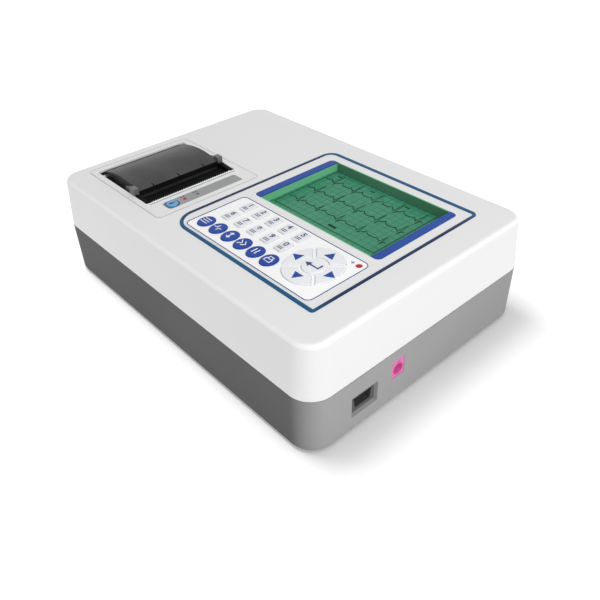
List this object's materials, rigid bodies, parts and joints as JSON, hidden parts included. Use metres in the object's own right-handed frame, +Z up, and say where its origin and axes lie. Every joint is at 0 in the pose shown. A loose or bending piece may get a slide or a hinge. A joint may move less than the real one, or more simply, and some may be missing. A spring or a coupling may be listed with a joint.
{
  "type": "ecg machine",
  "caption": "Desktop electrocardiograph with a white and grey case, green screen, keypad and a panel-mounted thermal printer with a hinged paper door.",
  "frame": {"origin": "centre of the footprint, on the surface that the rubber feet stand on", "axes": "+X to the user's right, towards the patient socket; +Y away from the user, towards the mains inlet; +Z up"},
  "size_m": [0.31, 0.222, 0.0933],
  "materials": {
    "white_case": "fine moulded texture",
    "grey_case": "fine moulded texture",
    "blue_trim": "glossy",
    "bar_blue": "glossy",
    "screen_green": "glass over a green display",
    "surround_green": "satin",
    "panel_white": "smooth film",
    "key_blue": "satin",
    "key_grey": "satin",
    "bezel_grey": "fine moulded texture",
    "strip_grey": "printed film",
    "feed_blue": "glossy",
    "smoke": "dark smoked plastic",
    "lever_grey": "moulded",
    "black_plastic": "moulded",
    "rubber": "matt",
    "steel": "ground",
    "zinc": "drawn",
    "gear_black": "moulded acetal",
    "board_green": "solder resist",
    "pack_wrap": "shrink wrap",
    "paper": "uncoated edge",
    "lamp_red": "diffused lens",
    "lamp_green": "diffused lens",
    "pink": "moulded",
    "brass": "turned"
  },
  "bodies": {
    "case": {"lower_case": "grey_case", "upper_case": "white_case", "frame_trim": "blue_trim", "screen_surround": "surround_green", "screen_side_bars": "bar_blue", "screen_panel": "screen_green", "screen_module": "zinc", "keypad_overlay": "panel_white", "keypad_board": "board_green", "feed_board": "board_green", "red_lamps": "lamp_red", "green_lamp": "lamp_green", "main_board": "board_green", "power_supply": "board_green", "battery_pack": "pack_wrap", "battery_cover": "grey_case", "rubber_feet": "rubber", "case_screws": "steel", "printer_bezel": "bezel_grey", "status_strip": "strip_grey", "printer_chassis": "black_plastic", "hinge_pin": "steel", "stepper_motor": "zinc", "print_head": "zinc", "tear_bar": "steel", "patient_socket": "black_plastic", "jack_socket": "pink", "mains_inlet": "black_plastic", "earth_post": "brass"},
    "door": {"printer_door": "smoke"},
    "lever": {"release_lever": "lever_grey"},
    "platen": {"platen_roller": "rubber", "platen_shaft": "steel", "platen_gear": "gear_black"},
    "idler": {"idler_gear": "gear_black"},
    "pinion": {"motor_pinion": "brass"},
    "roll": {"paper_roll": "paper"},
    "feed": {"feed_button": "feed_blue"},
    "rocker": {"power_switch": "black_plastic"},
    "function_key_1": {"function_key_1": "key_blue"},
    "function_key_2": {"function_key_2": "key_blue"},
    "function_key_3": {"function_key_3": "key_blue"},
    "function_key_4": {"function_key_4": "key_blue"},
    "function_key_5": {"function_key_5": "key_blue"},
    "function_key_6": {"function_key_6": "key_blue"},
    "number_key_1": {"number_key_1": "key_grey"},
    "number_key_2": {"number_key_2": "key_grey"},
    "number_key_3": {"number_key_3": "key_grey"},
    "number_key_4": {"number_key_4": "key_grey"},
    "number_key_5": {"number_key_5": "key_grey"},
    "number_key_6": {"number_key_6": "key_grey"},
    "number_key_7": {"number_key_7": "key_grey"},
    "number_key_8": {"number_key_8": "key_grey"},
    "number_key_9": {"number_key_9": "key_grey"},
    "number_key_0": {"number_key_0": "key_grey"},
    "arrow_key_right": {"arrow_key_right": "key_grey"},
    "arrow_key_up": {"arrow_key_up": "key_grey"},
    "arrow_key_left": {"arrow_key_left": "key_grey"},
    "arrow_key_down": {"arrow_key_down": "key_grey"},
    "enter_key": {"enter_key": "key_grey"}
  },
  "joints": [
    {"name": "door_hinge", "type": "hinge", "parent": "case", "child": "door", "pos_m": [-0.1295, -0.041, 0.0835], "axis": [0, -1, 0], "range_deg": [0, 75]},
    {"name": "lever_pivot", "type": "hinge", "parent": "door", "child": "lever", "pos_m": [-0.09, -0.041, 0.087], "axis": [0, -1, 0], "range_deg": [0, 12], "stiffness_Nm_per_rad": 0.05, "springref_deg": -11.46},
    {"name": "platen_spin", "type": "hinge", "parent": "door", "child": "platen", "pos_m": [-0.07962, -0.041, 0.08001], "axis": [0, -1, 0], "continuous": true},
    {"name": "idler_spin", "type": "hinge", "parent": "case", "child": "idler", "pos_m": [-0.08047, -0.0021, 0.06794], "axis": [0, -1, 0], "continuous": true},
    {"name": "pinion_spin", "type": "hinge", "parent": "case", "child": "pinion", "pos_m": [-0.06987, -0.0021, 0.06794], "axis": [0, -1, 0], "continuous": true},
    {"name": "roll_spin", "type": "hinge", "parent": "case", "child": "roll", "pos_m": [-0.1065, -0.041, 0.0608], "axis": [0, -1, 0], "continuous": true},
    {"name": "feed_press", "type": "slide", "parent": "case", "child": "feed", "axis": [0, 0, -1], "range_m": [0, 0.0006], "stiffness_N_per_m": 400, "springref_m": -0.0008},
    {"name": "power_rock", "type": "hinge", "parent": "case", "child": "rocker", "pos_m": [-0.081, 0.104, 0.025], "axis": [1, 0, 0], "range_deg": [0, 16]},
    {"name": "function_key_1_press", "type": "slide", "parent": "case", "child": "function_key_1", "axis": [0, 0, -1], "range_m": [0, 0.0005], "stiffness_N_per_m": 400, "springref_m": -0.0008},
    {"name": "function_key_2_press", "type": "slide", "parent": "case", "child": "function_key_2", "axis": [0, 0, -1], "range_m": [0, 0.0005], "stiffness_N_per_m": 400, "springref_m": -0.0008},
    {"name": "function_key_3_press", "type": "slide", "parent": "case", "child": "function_key_3", "axis": [0, 0, -1], "range_m": [0, 0.0005], "stiffness_N_per_m": 400, "springref_m": -0.0008},
    {"name": "function_key_4_press", "type": "slide", "parent": "case", "child": "function_key_4", "axis": [0, 0, -1], "range_m": [0, 0.0005], "stiffness_N_per_m": 400, "springref_m": -0.0008},
    {"name": "function_key_5_press", "type": "slide", "parent": "case", "child": "function_key_5", "axis": [0, 0, -1], "range_m": [0, 0.0005], "stiffness_N_per_m": 400, "springref_m": -0.0008},
    {"name": "function_key_6_press", "type": "slide", "parent": "case", "child": "function_key_6", "axis": [0, 0, -1], "range_m": [0, 0.0005], "stiffness_N_per_m": 400, "springref_m": -0.0008},
    {"name": "number_key_1_press", "type": "slide", "parent": "case", "child": "number_key_1", "axis": [0, 0, -1], "range_m": [0, 0.0005], "stiffness_N_per_m": 400, "springref_m": -0.0008},
    {"name": "number_key_2_press", "type": "slide", "parent": "case", "child": "number_key_2", "axis": [0, 0, -1], "range_m": [0, 0.0005], "stiffness_N_per_m": 400, "springref_m": -0.0008},
    {"name": "number_key_3_press", "type": "slide", "parent": "case", "child": "number_key_3", "axis": [0, 0, -1], "range_m": [0, 0.0005], "stiffness_N_per_m": 400, "springref_m": -0.0008},
    {"name": "number_key_4_press", "type": "slide", "parent": "case", "child": "number_key_4", "axis": [0, 0, -1], "range_m": [0, 0.0005], "stiffness_N_per_m": 400, "springref_m": -0.0008},
    {"name": "number_key_5_press", "type": "slide", "parent": "case", "child": "number_key_5", "axis": [0, 0, -1], "range_m": [0, 0.0005], "stiffness_N_per_m": 400, "springref_m": -0.0008},
    {"name": "number_key_6_press", "type": "slide", "parent": "case", "child": "number_key_6", "axis": [0, 0, -1], "range_m": [0, 0.0005], "stiffness_N_per_m": 400, "springref_m": -0.0008},
    {"name": "number_key_7_press", "type": "slide", "parent": "case", "child": "number_key_7", "axis": [0, 0, -1], "range_m": [0, 0.0005], "stiffness_N_per_m": 400, "springref_m": -0.0008},
    {"name": "number_key_8_press", "type": "slide", "parent": "case", "child": "number_key_8", "axis": [0, 0, -1], "range_m": [0, 0.0005], "stiffness_N_per_m": 400, "springref_m": -0.0008},
    {"name": "number_key_9_press", "type": "slide", "parent": "case", "child": "number_key_9", "axis": [0, 0, -1], "range_m": [0, 0.0005], "stiffness_N_per_m": 400, "springref_m": -0.0008},
    {"name": "number_key_0_press", "type": "slide", "parent": "case", "child": "number_key_0", "axis": [0, 0, -1], "range_m": [0, 0.0005], "stiffness_N_per_m": 400, "springref_m": -0.0008},
    {"name": "arrow_key_right_press", "type": "slide", "parent": "case", "child": "arrow_key_right", "axis": [0, 0, -1], "range_m": [0, 0.0005], "stiffness_N_per_m": 400, "springref_m": -0.0008},
    {"name": "arrow_key_up_press", "type": "slide", "parent": "case", "child": "arrow_key_up", "axis": [0, 0, -1], "range_m": [0, 0.0005], "stiffness_N_per_m": 400, "springref_m": -0.0008},
    {"name": "arrow_key_left_press", "type": "slide", "parent": "case", "child": "arrow_key_left", "axis": [0, 0, -1], "range_m": [0, 0.0005], "stiffness_N_per_m": 400, "springref_m": -0.0008},
    {"name": "arrow_key_down_press", "type": "slide", "parent": "case", "child": "arrow_key_down", "axis": [0, 0, -1], "range_m": [0, 0.0005], "stiffness_N_per_m": 400, "springref_m": -0.0008},
    {"name": "enter_key_press", "type": "slide", "parent": "case", "child": "enter_key", "axis": [0, 0, -1], "range_m": [0, 0.0005], "stiffness_N_per_m": 400, "springref_m": -0.0008}
  ],
  "couplings": [
    {"joint": "idler_spin", "follows": "platen_spin", "ratio": -0.71429},
    {"joint": "pinion_spin", "follows": "platen_spin", "ratio": 1.4286},
    {"joint": "roll_spin", "follows": "platen_spin", "ratio": 0.275}
  ]
}
